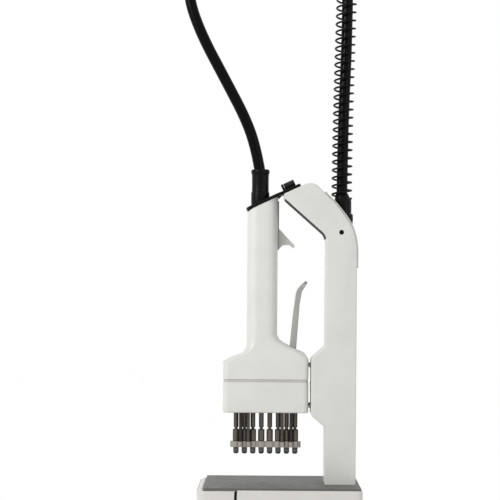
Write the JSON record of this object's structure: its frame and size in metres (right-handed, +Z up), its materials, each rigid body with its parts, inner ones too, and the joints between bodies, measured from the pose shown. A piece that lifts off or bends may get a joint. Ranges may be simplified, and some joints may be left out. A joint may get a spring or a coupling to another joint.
{
  "type": "screw cap recapper",
  "caption": "Hand-held multi-spindle screw cap recapper with trigger and ejector lever, hooked and docked on an arched bench stand with a spring-guarded cord.",
  "frame": {"origin": "middle of the base's footprint, on the bench", "axes": "+X to the right seen from the front, with the column at +X; +Y to the back; +Z up"},
  "size_m": [0.1933, 0.132, 0.7052],
  "materials": {
    "white_plastic": "fine satin",
    "dark_grey_plate": "fine texture",
    "steel_plate": "zinc plated",
    "polished_steel": "polished",
    "spindle_steel": "turned",
    "yoke_steel": "blackened",
    "black_rubber": "matt",
    "bit_plastic": "hard rubbery plastic",
    "cord_jacket": "smooth jacket",
    "spring_wire": "black spring steel",
    "plain_spring_wire": "bright wire",
    "black_plastic": "satin",
    "black_screws": "black oxide",
    "grey_plastic": "satin",
    "magnet_steel": "nickel plated",
    "deck_aluminium": "milled",
    "gear_brass": "cut teeth",
    "motor_steel": "plain can",
    "board": "glass fibre board"
  },
  "bodies": {
    "stand": {"base_housing": "white_plastic", "base_end_cap": "white_plastic", "base_top_plate": "dark_grey_plate", "base_steel_plate": "steel_plate", "rubber_feet": "black_rubber", "power_inlet": "black_plastic", "column_post": "steel_plate", "column_front_shell": "white_plastic", "column_rear_shell": "white_plastic", "column_screws": "black_screws", "arm_cap": "white_plastic", "arm_liner": "black_rubber", "dock_magnets": "magnet_steel", "dock_bumpers": "black_rubber", "spring_boot": "black_rubber", "cord_spring": "spring_wire", "cord": "cord_jacket"},
    "handpiece": {"handle_front_shell": "white_plastic", "handle_rear_shell": "white_plastic", "head_lower_cover": "white_plastic", "top_plate": "black_plastic", "cord_gland": "black_plastic", "drive_motor": "motor_steel", "gear_deck_lower": "deck_aluminium", "gear_deck_upper": "deck_aluminium", "control_board": "board", "trigger_bezel": "black_plastic", "lever_pin": "polished_steel", "housing_screws": "black_screws", "return_springs": "plain_spring_wire"},
    "trigger": {"trigger": "grey_plastic"},
    "lever": {"ejector_lever": "grey_plastic"},
    "ejector": {"ejector_plate": "deck_aluminium", "ejector_yoke": "yoke_steel", "guide_rods": "polished_steel"},
    "knob": {"mode_knob": "black_plastic"},
    "spindle_1": {"spindle_1": "spindle_steel", "driver_bit_1": "bit_plastic"},
    "spindle_2": {"spindle_2": "spindle_steel", "driver_bit_2": "bit_plastic"},
    "spindle_3": {"spindle_3": "spindle_steel", "driver_bit_3": "bit_plastic"},
    "spindle_4": {"spindle_4": "spindle_steel", "driver_bit_4": "bit_plastic", "drive_shaft": "polished_steel"},
    "spindle_5": {"spindle_5": "spindle_steel", "driver_bit_5": "bit_plastic"},
    "spindle_6": {"spindle_6": "spindle_steel", "driver_bit_6": "bit_plastic"},
    "spindle_7": {"spindle_7": "spindle_steel", "driver_bit_7": "bit_plastic"},
    "spindle_8": {"spindle_8": "spindle_steel", "driver_bit_8": "bit_plastic"},
    "idler_1": {"idler_gear_1": "gear_brass"},
    "idler_2": {"idler_gear_2": "gear_brass"},
    "idler_3": {"idler_gear_3": "gear_brass"},
    "idler_4": {"idler_gear_4": "gear_brass"},
    "idler_5": {"idler_gear_5": "gear_brass"},
    "idler_6": {"idler_gear_6": "gear_brass"},
    "idler_7": {"idler_gear_7": "gear_brass"}
  },
  "joints": [
    {"name": "handpiece_undock", "type": "slide", "parent": "stand", "child": "handpiece", "axis": [-1, 0, 0], "range_m": [0, 0.12]},
    {"name": "trigger_pull", "type": "slide", "parent": "handpiece", "child": "trigger", "axis": [-1, 0, 0], "range_m": [0, 0.0035], "stiffness_N_per_m": 400, "springref_m": -0.002},
    {"name": "lever_squeeze", "type": "hinge", "parent": "handpiece", "child": "lever", "pos_m": [0.014, 0, 0.172], "axis": [0, -1, 0], "range_deg": [0, 12], "stiffness_Nm_per_rad": 0.34, "springref_deg": -11.46},
    {"name": "ejector_drop", "type": "slide", "parent": "handpiece", "child": "ejector", "axis": [0, 0, -1], "range_m": [0, 0.005], "deforming": ["return_springs"]},
    {"name": "knob_turn", "type": "hinge", "parent": "handpiece", "child": "knob", "pos_m": [0.00211, 0, 0.35993], "axis": [0.9063, 0, 0.4226], "range_deg": [-135, 135]},
    {"name": "spindle_1_spin", "type": "hinge", "parent": "handpiece", "child": "spindle_1", "pos_m": [-0.0465, 0, 0.13], "axis": [0, 0, 1], "continuous": true},
    {"name": "spindle_2_spin", "type": "hinge", "parent": "handpiece", "child": "spindle_2", "pos_m": [-0.0375, 0, 0.13], "axis": [0, 0, 1], "continuous": true},
    {"name": "spindle_3_spin", "type": "hinge", "parent": "handpiece", "child": "spindle_3", "pos_m": [-0.0285, 0, 0.13], "axis": [0, 0, 1], "continuous": true},
    {"name": "spindle_4_spin", "type": "hinge", "parent": "handpiece", "child": "spindle_4", "pos_m": [-0.0195, 0, 0.13], "axis": [0, 0, 1], "continuous": true},
    {"name": "spindle_5_spin", "type": "hinge", "parent": "handpiece", "child": "spindle_5", "pos_m": [-0.0105, 0, 0.13], "axis": [0, 0, 1], "continuous": true},
    {"name": "spindle_6_spin", "type": "hinge", "parent": "handpiece", "child": "spindle_6", "pos_m": [-0.0015, 0, 0.13], "axis": [0, 0, 1], "continuous": true},
    {"name": "spindle_7_spin", "type": "hinge", "parent": "handpiece", "child": "spindle_7", "pos_m": [0.0075, 0, 0.13], "axis": [0, 0, 1], "continuous": true},
    {"name": "spindle_8_spin", "type": "hinge", "parent": "handpiece", "child": "spindle_8", "pos_m": [0.0165, 0, 0.13], "axis": [0, 0, 1], "continuous": true},
    {"name": "idler_1_spin", "type": "hinge", "parent": "handpiece", "child": "idler_1", "pos_m": [-0.042, 0.00536, 0.13], "axis": [0, 0, 1], "continuous": true},
    {"name": "idler_2_spin", "type": "hinge", "parent": "handpiece", "child": "idler_2", "pos_m": [-0.033, 0.00536, 0.13], "axis": [0, 0, 1], "continuous": true},
    {"name": "idler_3_spin", "type": "hinge", "parent": "handpiece", "child": "idler_3", "pos_m": [-0.024, 0.00536, 0.13], "axis": [0, 0, 1], "continuous": true},
    {"name": "idler_4_spin", "type": "hinge", "parent": "handpiece", "child": "idler_4", "pos_m": [-0.015, 0.00536, 0.13], "axis": [0, 0, 1], "continuous": true},
    {"name": "idler_5_spin", "type": "hinge", "parent": "handpiece", "child": "idler_5", "pos_m": [-0.006, 0.00536, 0.13], "axis": [0, 0, 1], "continuous": true},
    {"name": "idler_6_spin", "type": "hinge", "parent": "handpiece", "child": "idler_6", "pos_m": [0.003, 0.00536, 0.13], "axis": [0, 0, 1], "continuous": true},
    {"name": "idler_7_spin", "type": "hinge", "parent": "handpiece", "child": "idler_7", "pos_m": [0.012, 0.00536, 0.13], "axis": [0, 0, 1], "continuous": true}
  ],
  "couplings": [
    {"joint": "ejector_drop", "follows": "lever_squeeze", "m_per_rad": 0.02387},
    {"joint": "spindle_1_spin", "follows": "spindle_4_spin", "ratio": 1},
    {"joint": "spindle_2_spin", "follows": "spindle_4_spin", "ratio": 1},
    {"joint": "spindle_3_spin", "follows": "spindle_4_spin", "ratio": 1},
    {"joint": "spindle_5_spin", "follows": "spindle_4_spin", "ratio": 1},
    {"joint": "spindle_6_spin", "follows": "spindle_4_spin", "ratio": 1},
    {"joint": "spindle_7_spin", "follows": "spindle_4_spin", "ratio": 1},
    {"joint": "spindle_8_spin", "follows": "spindle_4_spin", "ratio": 1},
    {"joint": "idler_1_spin", "follows": "spindle_4_spin", "ratio": -1},
    {"joint": "idler_2_spin", "follows": "spindle_4_spin", "ratio": -1},
    {"joint": "idler_3_spin", "follows": "spindle_4_spin", "ratio": -1},
    {"joint": "idler_4_spin", "follows": "spindle_4_spin", "ratio": -1},
    {"joint": "idler_5_spin", "follows": "spindle_4_spin", "ratio": -1},
    {"joint": "idler_6_spin", "follows": "spindle_4_spin", "ratio": -1},
    {"joint": "idler_7_spin", "follows": "spindle_4_spin", "ratio": -1}
  ]
}
